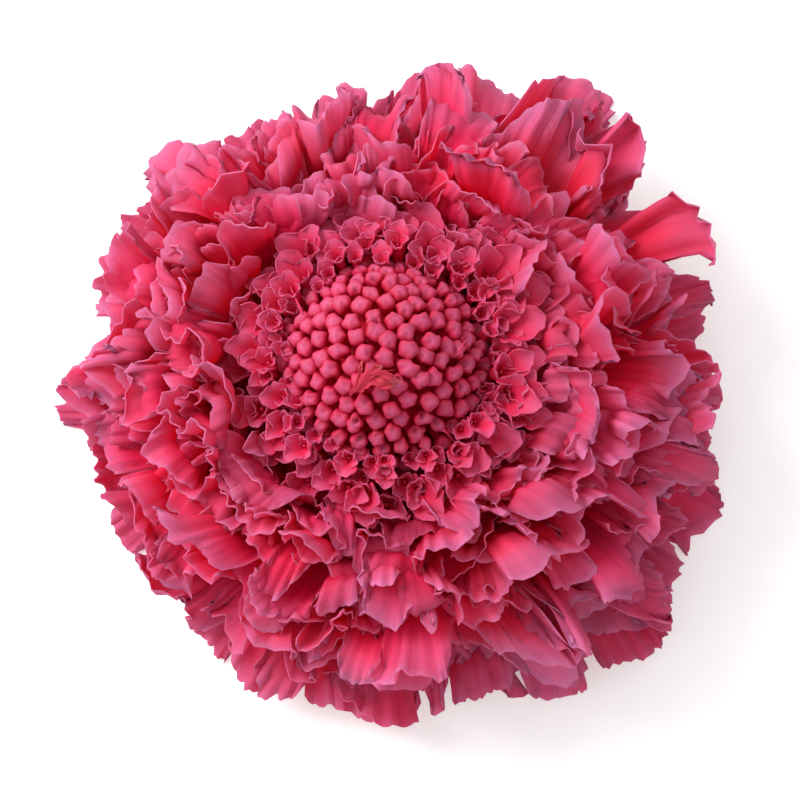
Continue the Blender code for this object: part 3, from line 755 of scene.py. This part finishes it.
# ------------------------------------------------------------ build petals
GLOW = (0.98, 0.004, 0.058)
PETAL = {
    "outer_floret": petal_material("petal_outer", (0.82, 0.005, 0.055), (0.80, 0.020, 0.138), (0.69, 0.230, 0.490), (0.92, 0.018, 0.095)),
    "lower_floret": petal_material("petal_lower", (0.90, 0.002, 0.036), (0.89, 0.008, 0.114), (0.69, 0.282, 0.600), GLOW),
    "upper_floret": petal_material("petal_upper", (0.90, 0.002, 0.036), (0.89, 0.008, 0.114), (0.69, 0.282, 0.595), GLOW),
    "inner_floret": petal_material("petal_inner", (0.88, 0.002, 0.036), (0.87, 0.008, 0.108), (0.69, 0.256, 0.545), GLOW),
}
# the buds' lighter top is painted light: their colour follows the height up the bud, pale pink at the top and the
# darker red below
BUD = petal_material("bud_skin", (0.62, 0.001, 0.022), (0.70, 0.006, 0.058), (0.72, 0.140, 0.310), (0.86, 0.005, 0.045), through=0.26, vein=0.5, uv_scale=(3.0, 1.0), paint_pocket_shade=False,
                     rough=0.38, gleam=0.20)
OPENING = petal_material("petal_opening", (0.86, 0.002, 0.034), (0.86, 0.009, 0.092), (0.74, 0.180, 0.400), (0.96, 0.010, 0.075), through=0.38, vein=0.5, uv_scale=(9.0, 1.0), paint_pocket_shade=False)
SCRAP = petal_material("dried_scrap", (0.70, 0.030, 0.085), (0.78, 0.085, 0.150), (0.84, 0.235, 0.280), (0.90, 0.07, 0.13), through=0.45, vein=1.0, uv_scale=(7.0, 2.0), paint_pocket_shade=False)
STEM = petal_material("stem_skin", (0.13, 0.18, 0.045), (0.19, 0.25, 0.07), (0.34, 0.38, 0.17), (0.2, 0.3, 0.05), through=0.04, vein=1.0, uv_scale=(30.0, 2.0), paint_pocket_shade=False)
BRACT = petal_material("bract_leaf", (0.09, 0.17, 0.04), (0.14, 0.24, 0.06), (0.24, 0.33, 0.12), (0.2, 0.34, 0.05), through=0.18, vein=0.7, uv_scale=(12.0, 3.0), paint_pocket_shade=False)
CORE = petal_material("floret_bed", (0.62, 0.003, 0.026), (0.70, 0.005, 0.038), (0.74, 0.008, 0.055), (0.75, 0.004, 0.03), through=0.05, vein=0.4, uv_scale=(20.0, 1.0), paint_pocket_shade=False)


def build_petals():
    petals = grown_petals()
    R, C = petals.R, petals.C
    thick = np.interp(np.linspace(0, 1, R), [0, 0.6, 1], [0.24, 0.16, 0.10])[:, None] * np.ones(C)[None]
    # painted shade: how deep each petal point lies below the top of the canopy sets how much pale margin colour it
    # gets
    lit = openness_for_painted_shade(petals)
    by_floret = {}
    for k, info in enumerate(petals.info):
        by_floret.setdefault((info["family"], info["index"]), []).append(k)
    for (family, index), ids in by_floret.items():
        parts, light = [], []
        for k in ids:
            parts.append(sheet_parts(petals.P[k].astype(float), thick))
            light += [lit[k].ravel(), lit[k].ravel()]
        info = petals.info[ids[0]]
        line = info["tube"]
        t = np.linspace(0, 1, 7)
        s = np.array([0, 0.5, 1.0])
        r = np.interp(t, s, line[:, 0])
        z = np.interp(t, s, line[:, 1])
        rings = np.stack([r * math.cos(info["az"]), r * math.sin(info["az"]), z], -1)
        parts.append(tube_parts(rings, np.interp(t, [0, 0.5, 1.0], [0.42, 0.5, 0.88])))
        name = f"petals_{family}_{index + 1:02d}"
        light.append(np.zeros(len(parts[-1][0])))
        obj = make_object(name, parts, PETAL[family], {"open": np.concatenate(light)})
        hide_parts(f"{family}_{index + 1:02d}")


build_petals()


# ------------------------------------------------------------ bud dome
def frame_on_dome(polar, az, depth=0.0):
    """Point on the bud dome and its outward normal."""
    r, h = DOME_RADIUS - depth, DOME_HEIGHT - depth
    p = np.array([r * math.sin(polar) * math.cos(az), r * math.sin(polar) * math.sin(az),
                  DOME_CENTRE_Z + h * math.cos(polar)])
    n = np.array([math.sin(polar) * math.cos(az) / r, math.sin(polar) * math.sin(az) / r, math.cos(polar) / h])
    return p, n / np.linalg.norm(n)


APEX = (0.23, math.radians(-57))        # where the youngest buds close up, polar and azimuth


def bud_sites():
    """Buds in spirals round the apex, evenly spaced on the dome."""
    rng = np.random.default_rng(11)
    pole = np.array([math.sin(APEX[0]) * math.cos(APEX[1]), math.sin(APEX[0]) * math.sin(APEX[1]), math.cos(APEX[0])])
    x = np.cross([0, 1, 0], pole)
    x /= np.linalg.norm(x)
    y = np.cross(pole, x)
    sites = []
    cell = 1.84 ** 2 * 0.866 / (2 * math.pi * 10.0 ** 2)
    for k in range(500):
        c = 1 - (k + 0.8) * cell
        if c < -0.5:
            break
        s = math.sqrt(max(0.0, 1 - c * c))
        a = k * math.pi * (3 - math.sqrt(5)) + rng.normal() * 0.02 / max(s, 0.2)
        d = x * s * math.cos(a) + y * s * math.sin(a) + pole * c
        polar = math.acos(np.clip(d[2], -1, 1)) + rng.normal() * 0.010
        az = math.atan2(d[1], d[0])
        c, _ = frame_on_dome(polar, az)
        if polar < math.radians(90) and np.linalg.norm(c - frame_on_dome(*APEX)[0]) > 0.9:
            sites.append((polar, az))
    return sites


def bud(rng, centre, normal, inward, size, opened, slim=1.0):
    """A closed bud: an outer lobe hooded over the rest, its free edge towards the apex."""
    sides, rows = 20, 13
    prof = np.array([(0.0, 0.45), (0.32, 0.46), (0.60, 0.44), (0.80, 0.36), (0.92, 0.18), (0.95, -0.05), (0.91, -0.28),
                     (0.82, -0.46), (0.68, -0.62), (0.58, -0.90), (0.52, -1.3), (0.50, -1.8), (0.50, -2.4)])
    a = 2 * math.pi * np.arange(sides) / sides
    ta = inward - normal * (inward @ normal)
    ta /= np.linalg.norm(ta)
    tb = np.cross(normal, ta)
    n_lobes = rng.choice([4, 5, 5])
    seam = rng.uniform(0, 2 * math.pi) + 2 * math.pi * np.arange(n_lobes) / n_lobes + rng.normal(size=n_lobes) * 0.18
    dist = np.abs((a[None] - seam[:, None] + math.pi) % (2 * math.pi) - math.pi).min(0)
    crease = np.exp(-(dist / 0.16) ** 2)
    corners = rng.choice([4, 5, 5])
    turned = corners * (a - rng.uniform(0, 6))
    flat = 0.095 * np.cos(turned) + 0.025 * np.cos(2 * turned) + 0.06 * np.cos(3 * (a - rng.uniform(0, 6)))
    squash = 1 + 0.09 * rng.normal() * np.cos(2 * (a - rng.uniform(0, 3)))
    hump = rng.uniform(0.02, 0.24)
    depth = rng.uniform(1.1, 1.7) if opened else rng.uniform(0.05, 0.26)
    ridge = rng.uniform(0, 6)
    verts, uv = [], []
    for k, (rho, h) in enumerate(prof):
        zone = math.sin(min(1.0, rho / 0.9) * math.pi / 2) if k < 7 else max(0.0, 1 - (k - 6) / 5)
        rr = rho * squash * (1 + flat * zone - (0.16 if opened else 0.055) * crease * zone)
        rr = rr + rng.normal(size=sides) * 0.016 * zone
        px, py = rr * np.cos(a), slim * rr * np.sin(a)
        hz = h - 0.03 * crease * zone + np.zeros(sides)
        if k < 8:
            hz = hz - hump * px + 0.03 * np.cos(3 * a + k) - 0.22 * np.abs(px * math.sin(ridge) - py * math.cos(ridge)) ** 1.3 + 0.05
            gap = np.exp(-(((px - 0.50) / 0.25) ** 2 + (py / 0.24) ** 2))
            hz = hz - depth * gap
            px = px - 0.10 * gap
            lip = np.exp(-(((px - 0.78) / 0.16) ** 2 + (py / 0.5) ** 2))
            hz = hz + 0.16 * lip * (1.6 if opened else 0.5)
        v = centre + size * (px[:, None] * ta + py[:, None] * tb + hz[:, None] * normal)
        verts.append(v)
        # UV Y runs from 1 at the bud's top to 0 at its foot; the bud material paints the top lighter as painted light
        uv.append(np.stack([a / (2 * math.pi), np.full(sides, 1 - k / (rows - 1))], -1))
    top = verts[0].mean(0)
    verts = [top[None]] + verts[1:]
    uv = [np.array([[0.5, 1.0]])] + uv[1:]
    faces = [[0, 1 + j, 1 + (j + 1) % sides] for j in range(sides)]
    faces += [list(f) for f in grid_faces(rows - 1, sides, 1, False, True)]
    last = 1 + (rows - 2) * sides
    faces.append([last + j for j in range(sides)][::-1])
    return np.concatenate(verts), faces, np.concatenate(uv)


def build_buds():
    rng = np.random.default_rng(5)
    apex, _ = frame_on_dome(*APEX)
    bands = {}
    for polar, az in bud_sites():
        c, n = frame_on_dome(polar, az, 0.42 + rng.normal() * 0.13)
        far = np.linalg.norm(c - apex)
        size = rng.uniform(0.78, 0.93) * (1.03 - 0.012 * far)
        lean = n + np.array([0, 0, 0.10]) + rng.normal(size=3) * 0.05
        lean /= np.linalg.norm(lean)
        facing = math.cos(az + math.radians(45)) > 0.3 and polar > math.radians(38)
        slim = 0.74 + 0.16 * rng.random() if polar > math.radians(52) and rng.random() < 0.7 else 1.0
        part = bud(rng, c, lean, apex - c, size, rng.random() < (0.42 if facing else 0.15), slim)
        bands.setdefault(min(5, int(math.degrees(polar) / 15)), []).append(part)
    for k, parts in sorted(bands.items()):
        obj = make_object(f"closed_buds_{k + 1}", parts, BUD)
        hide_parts("closed_buds")
    # the receptacle skin the buds stand on
    a = 2 * math.pi * np.arange(48) / 48
    rows = []
    for polar in np.linspace(0.02, math.radians(96), 16):
        r, h = DOME_RADIUS - 2.6, DOME_HEIGHT - 2.6
        rows.append(np.stack([r * math.sin(polar) * np.cos(a), r * math.sin(polar) * np.sin(a),
                              np.full(48, DOME_CENTRE_Z + h * math.cos(polar))], -1))
    rows.append(np.stack([5.5 * np.cos(a), 5.5 * np.sin(a), np.full(48, 13.0)], -1))
    v = np.concatenate(rows)
    f = [list(q) for q in grid_faces(len(rows), 48, 0, False, True)]
    f += [list(range(48))[::-1], list(range(len(v) - 48, len(v)))]
    obj = make_object("bud_bed", [(v, f, np.zeros((len(v), 2)))], CORE)
    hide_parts("closed_buds")


def build_bed():
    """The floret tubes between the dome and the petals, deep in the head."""
    rng = np.random.default_rng(31)
    parts = []
    for r, z0, z1, count in [(8.6, 11.0, 16.4, 30), (9.9, 10.4, 15.6, 36), (11.2, 9.6, 14.8, 40)]:
        for i in range(count):
            az = 2 * math.pi * (i + rng.uniform(-0.3, 0.3)) / count
            out = np.array([math.cos(az), math.sin(az), 0.0])
            top = out * (r + rng.normal() * 0.2) + np.array([0, 0, z1 + rng.normal() * 0.5])
            foot = out * (r * 0.62) + np.array([0, 0, z0])
            t = np.linspace(0, 1, 6)[:, None]
            line = foot * (1 - t) ** 2 + 2 * t * (1 - t) * (out * r * 0.95 + np.array([0, 0, z0 + 0.8])) + top * t ** 2
            parts.append(tube_parts(line, np.interp(t[:, 0], [0, 0.5, 0.85, 1], [0.7, 0.8, 1.0, 0.55]), 8))
    a = 2 * math.pi * np.arange(60) / 60
    rows = [np.stack([r * np.cos(a), r * np.sin(a), np.full(60, z)], -1)
            for r, z in [(5.8, 15.0), (8.8, 14.6), (10.6, 13.6), (12.2, 12.4), (13.2, 11.2), (12.6, 10.0), (9.4, 9.4), (6.0, 9.2)]]
    v = np.concatenate(rows)
    f = [list(q) for q in grid_faces(len(rows), 60, 0, False, True)]
    f += [list(range(60))[::-1], list(range(len(v) - 60, len(v)))]
    parts.append((v, f, np.zeros((len(v), 2))))
    obj = make_object("floret_bed", parts, CORE)
    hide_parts("closed_buds")


# ------------------------------------------------------------ opening florets
def small_floret(rng, foot, top, axis, outward, size, spread):
    """A floret just opening: a short tube and five cupped lobes, the outer one longest."""
    x = outward - axis * (outward @ axis)
    x /= np.linalg.norm(x)
    y = np.cross(axis, x)
    t = np.linspace(0, 1, 6)[:, None]
    rings = (1 - t) ** 2 * foot + 2 * t * (1 - t) * (top - axis * 1.4) + t ** 2 * top
    parts = [tube_parts(rings, np.interp(t[:, 0], [0, 0.6, 1], [0.30, 0.42, 0.60]) * size, 10)]
    a = 2 * math.pi * np.arange(8) / 8
    heart = [top + size * (0.44 * math.sin(b) * (np.cos(a)[:, None] * x + np.sin(a)[:, None] * y) + (0.62 * math.cos(b) - 0.05) * axis)
             for b in (0.35, 0.8, 1.25, 1.7)]
    v = np.concatenate(heart)
    parts.append((v, [list(f) for f in grid_faces(4, 8, 0, False, True)] + [list(range(8))[::-1], list(range(24, 32))],
                  np.full((len(v), 2), 0.5)))
    turn = rng.normal() * 0.25
    for k in range(5):
        psi = turn + 2 * math.pi * k / 5 + rng.normal() * 0.10
        rank = [1.0, 0.58, 0.22, 0.22, 0.58][k]
        length = size * rng.uniform(2.1, 2.9) * (0.36 + 0.64 * rank)
        width = size * rng.uniform(0.92, 1.22) * (0.46 + 0.54 * rank)
        open_ = spread * rng.uniform(0.80, 1.25) * (0.36 + 0.76 * rank)
        d = math.cos(psi) * x + math.sin(psi) * y
        side = np.cross(axis, d)
        R, C = [(9, 10), (7, 7), (6, 5), (6, 5), (7, 7)][k]
        q = np.linspace(0, 1, R)[:, None]
        u = np.linspace(-1, 1, C)[None]
        # a spoon: narrow at the throat, widest past the middle, round at the tip
        w = width * (0.30 + 0.70 * np.sin(math.pi / 2 * np.clip(q / 0.62, 0, 1)) ** 1.6) * np.ones_like(u)
        w = w * np.sqrt(1 - 0.62 * np.clip((q - 0.62) / 0.38, 0, 1) ** 2)
        along = q * length * (1 - 0.26 * np.abs(u) ** 2.4 * q ** 1.5 + 0.05 * rng.normal() * u * q ** 2)
        bend = open_ * (0.35 + 0.65 * q) + 0.25 * np.sin(3 * q + rng.uniform(0, 6)) * q
        step = length / (R - 1)
        cx = 0.40 * size + np.concatenate([[0], np.cumsum(np.sin(bend[:-1, 0]) * step)])[:, None]
        cz = np.concatenate([[0], np.cumsum(np.cos(bend[:-1, 0]) * step)])[:, None]
        short = along - q * length
        cx, cz = cx + short * np.sin(bend), cz + short * np.cos(bend)
        cup = rng.uniform(0.22, 0.50) * size * (0.6 + 0.4 * rank) + 0 * q
        lat = u * w
        inx = -cup * u ** 2 * np.cos(bend) - 0.07 * size * np.sin(5 * u + 3 * q + rng.uniform(0, 6)) * q
        inz = cup * u ** 2 * np.sin(bend)
        P = top[None, None] + (cx + inx)[..., None] * d + (cz + inz)[..., None] * axis + lat[..., None] * side
        v, f, uv, sharp = sheet_parts(P, np.interp(q, [0, 1], [0.15, 0.09]) * np.ones_like(u))
        uv[:, 1] = 0.46 + 0.52 * uv[:, 1]
        parts.append((v, f, uv, sharp))
    return parts


def build_opening():
    rng = np.random.default_rng(21)
    flowers = []
    # (polar angle of the base on the dome, count, size, lean outwards)
    rings = [(8.6, 20.8, 24, 0.68, 0.80), (9.3, 20.8, 24, 0.90, 1.00), (10.1, 20.4, 22, 1.10, 1.08),
             (10.9, 19.5, 21, 1.28, 1.15), (11.6, 18.2, 20, 1.38, 1.15)]
    for ring, (r, z, count, size, spread) in enumerate(rings):
        for i in range(count):
            az = 2 * math.pi * (i + 0.5 * (ring % 2) + rng.normal() * 0.14) / count
            # larger on the right and at the top of the head
            big = 1 + 0.16 * math.cos(az - math.radians(35))
            rr = r * (1 + 0.04 * math.cos(az - math.radians(20))) + rng.normal() * 0.30
            out = np.array([math.cos(az), math.sin(az), 0.0])
            mouth = out * rr + np.array([0, 0, z + rng.normal() * 0.45])
            foot = out * (rr * 0.5 + 2.2) + np.array([0, 0, 15.2 - 0.3 * ring])
            axis = out * (0.28 + 0.07 * ring) + np.array([0, 0, 1.0]) + rng.normal(size=3) * 0.14
            axis /= np.linalg.norm(axis)
            flowers.append((az, small_floret(rng, foot, mouth, axis, out, size * big * rng.uniform(0.82, 1.16), spread)))
    # nine stand for the CAD's opening florets, by nearest azimuth
    groups = {i: [] for i in range(9)}
    for az, parts in flowers:
        i = int(round((math.degrees(az) - 8) / 40.0)) % 9
        groups[i] += parts
    for i, parts in groups.items():
        obj = make_object(f"opening_florets_{i + 1:02d}", parts, OPENING)
        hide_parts(f"opening_floret_{i + 1:02d}")


def on_dome(px, py, lift=0.0):
    """The point on the bud dome, raised by lift mm, that shows at this place in the picture."""
    x, y = (px - 390) * 0.09, (397 - py) * 0.09 - 3.5
    for k in range(25):
        u = min(0.995, math.hypot(x, y) / (DOME_RADIUS + 0.3))
        z = DOME_CENTRE_Z + (DOME_HEIGHT + 0.2) * math.sqrt(1 - u * u) + lift
        sx, sy = in_picture([[x, y, z]])
        x += (px - 390 - sx[0]) * 0.08
        y += (397 - py - sy[0]) * 0.08
    return np.array([x, y, z])


def ribbon(rng, line, width, thick=0.06, wave=0.12):
    """A narrow torn strip along a line of points, its edges uneven."""
    line = np.asarray(line, float)
    n = 16
    t = np.linspace(0, len(line) - 1, n)
    c = np.stack([np.interp(t, np.arange(len(line)), line[:, k]) for k in range(3)], -1)
    c[1:-1] = (c[:-2] + 2 * c[1:-1] + c[2:]) / 4
    d = np.gradient(c, axis=0)
    d /= np.linalg.norm(d, axis=1)[:, None]
    side = np.cross(d, [0.15, -0.2, 1.0])
    side /= np.linalg.norm(side, axis=1)[:, None]
    C = 5
    u = np.linspace(-1, 1, C)
    q = np.linspace(0, 1, n)
    w = width * np.sin(np.pi * np.clip(q * 0.86 + 0.12, 0, 1)) ** 0.6 * (1 + 0.25 * rng.normal(size=n))
    P = c[:, None] + side[:, None] * (u[None, :, None] * w[:, None, None])
    P[..., 2] += wave * np.sin(3.1 * u[None] + 7 * q[:, None] + rng.uniform(0, 6))
    return sheet_parts(P, np.full((n, C), thick))


def build_shred():
    """The torn, dried scrap of petal that lies over the dome, and the stray bristles."""
    rng = np.random.default_rng(41)
    pt = on_dome
    parts = [
        ribbon(rng, [pt(350, 396, 0.35), pt(356, 384, 0.7), pt(360, 372, 0.9), pt(362, 361, 0.7)], 0.16),
        ribbon(rng, [pt(353, 392, 0.5), pt(364, 378, 0.9), pt(375, 370, 1.0), pt(382, 366, 0.6)], 0.34),
        ribbon(rng, [pt(356, 390, 0.4), pt(368, 383, 0.8), pt(384, 378, 0.9), pt(397, 383, 0.6)], 0.42),
        ribbon(rng, [pt(368, 374, 0.9), pt(378, 372, 1.1), pt(390, 377, 1.0), pt(401, 382, 0.5)], 0.30),
        ribbon(rng, [pt(372, 380, 0.9), pt(380, 386, 0.9), pt(390, 386, 0.8), pt(396, 385, 0.5)], 0.22),
    ]
    for k in range(9):
        a = pt(352 + 3 * k * rng.uniform(0.6, 1.2), 392 - 2 * k * rng.uniform(0.6, 1.2), 0.6)
        b = a + np.array([rng.uniform(0.8, 2.2), rng.uniform(0.2, 1.4), rng.uniform(-0.1, 0.5)])
        m = (a + b) / 2 + np.array([0, 0, 0.25])
        line = np.array([a, (a + m) / 2, m, (m + b) / 2, b])
        parts.append(tube_parts(line, [0.05, 0.045, 0.04, 0.03, 0.015], 6))
    obj = make_object("torn_scrap", parts, SCRAP)
    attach(obj, "root")

    bristles = []
    for (x0, y0), (x1, y1), l0, l1 in [((303, 314), (281, 264), 0.2, 3.4), ((268, 352), (271, 372), 0.3, 0.9), ((458, 352), (468, 338), 0.3, 1.2),
                                        ((444, 430), (458, 446), 0.2, 1.2)]:
        a, b = on_dome(x0, y0, l0), on_dome(x1, y1, l1)
        m = (a + b) / 2 + rng.normal(size=3) * 0.15
        t = np.linspace(0, 1, 7)[:, None]
        line = a * (1 - t) ** 2 + 2 * t * (1 - t) * m + b * t ** 2
        v, f, uv = tube_parts(line, np.linspace(0.10, 0.03, 7), 7)
        uv[:, 1] = 0.80
        bristles.append((v, f, uv))
    obj = make_object("bristles", bristles, OPENING)


def build_underside():
    """Cut stub, receptacle and the eight bracts under the head."""
    rng = np.random.default_rng(51)
    prof = np.array([(0.0, 0.0), (0.7, 0.02), (1.36, 0.03), (1.50, 0.12), (1.52, 1.0), (1.54, 2.4), (1.875, 4.0), (2.3, 4.7), (3.0, 5.2), (3.9, 5.8),
                     (4.6, 6.2), (5.1, 6.7), (5.5, 7.2), (5.8, 7.8), (6.0, 8.4), (6.0, 11.0), (5.8, 14.0), (4.0, 16.0), (0.0, 16.5)])
    sides = 44
    a = 2 * math.pi * np.arange(sides) / sides
    verts = []
    for k, (r, z) in enumerate(prof[1:-1]):
        ridge = 1 + (0.035 * np.cos(11 * a) if z < 5 else 0.0) + 0.012 * np.cos(2 * a + 1)
        verts.append(np.stack([r * ridge * np.cos(a), r * ridge * np.sin(a), np.full(sides, z) + (0.03 * np.cos(7 * a) if 5 < z < 9 else 0)], -1))
    v = np.concatenate([np.array([[0, 0, 0.06]])] + verts + [np.array([[0, 0, 16.5]])])
    n = len(verts)
    uv = np.concatenate([[[0.5, 0.0]]] + [np.stack([a / (2 * math.pi), np.full(sides, 0.1 + 0.5 * k / n)], -1) for k in range(n)] + [[[0.5, 0.6]]])
    faces = [[0, 1 + (j + 1) % sides, 1 + j] for j in range(sides)]
    faces += [list(f)[::-1] for f in grid_faces(n, sides, 1, False, True)]
    last = 1 + (n - 1) * sides
    faces += [[len(v) - 1, last + j, last + (j + 1) % sides] for j in range(sides)]
    v[:, 2] = np.maximum(v[:, 2], 0.0)
    obj = make_object("cut_stub_and_receptacle", [(v, faces, uv)], STEM)
    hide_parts("receptacle")
    line = [(3.5, 4.35), (5.2, 4.55), (7.6, 4.95), (10.0, 4.8), (12.6, 4.0)]
    at, pts, nrm = smooth_line(line)
    for i in range(8):
        az = 2 * math.pi * (i + 0.3) / 8
        R, C = 18, 11
        q, u = np.linspace(0, 1, R)[:, None], np.linspace(-1, 1, C)[None]
        half = 1.35 * np.sin(np.pi * (0.16 + 0.84 * q) ** 0.8) ** 0.8 + 0.05
        half = half * (1 + 0.05 * np.sin(9 * q + i))
        s = q * at[-1] * np.ones_like(u)
        r, z = np.interp(s, at, pts[:, 0]), np.interp(s, at, pts[:, 1])
        lat = u * half
        z = z + 0.22 * np.abs(u) ** 1.5 * half + 0.05 * np.sin(8 * q + 3 * u + i) - 0.10 * np.exp(-(u / 0.18) ** 2)
        ca, sa = math.cos(az), math.sin(az)
        P = np.stack([r * ca - lat * sa, r * sa + lat * ca, z], -1)
        obj = make_object(f"leafy_bract_{i + 1:02d}", [sheet_parts(P, np.full((R, C), 0.26) - 0.12 * np.abs(u) ** 2 * np.ones((R, 1)))], BRACT)
        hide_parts(f"bract_{i + 1:02d}")


build_buds()
build_bed()
build_opening()
build_shred()
build_underside()
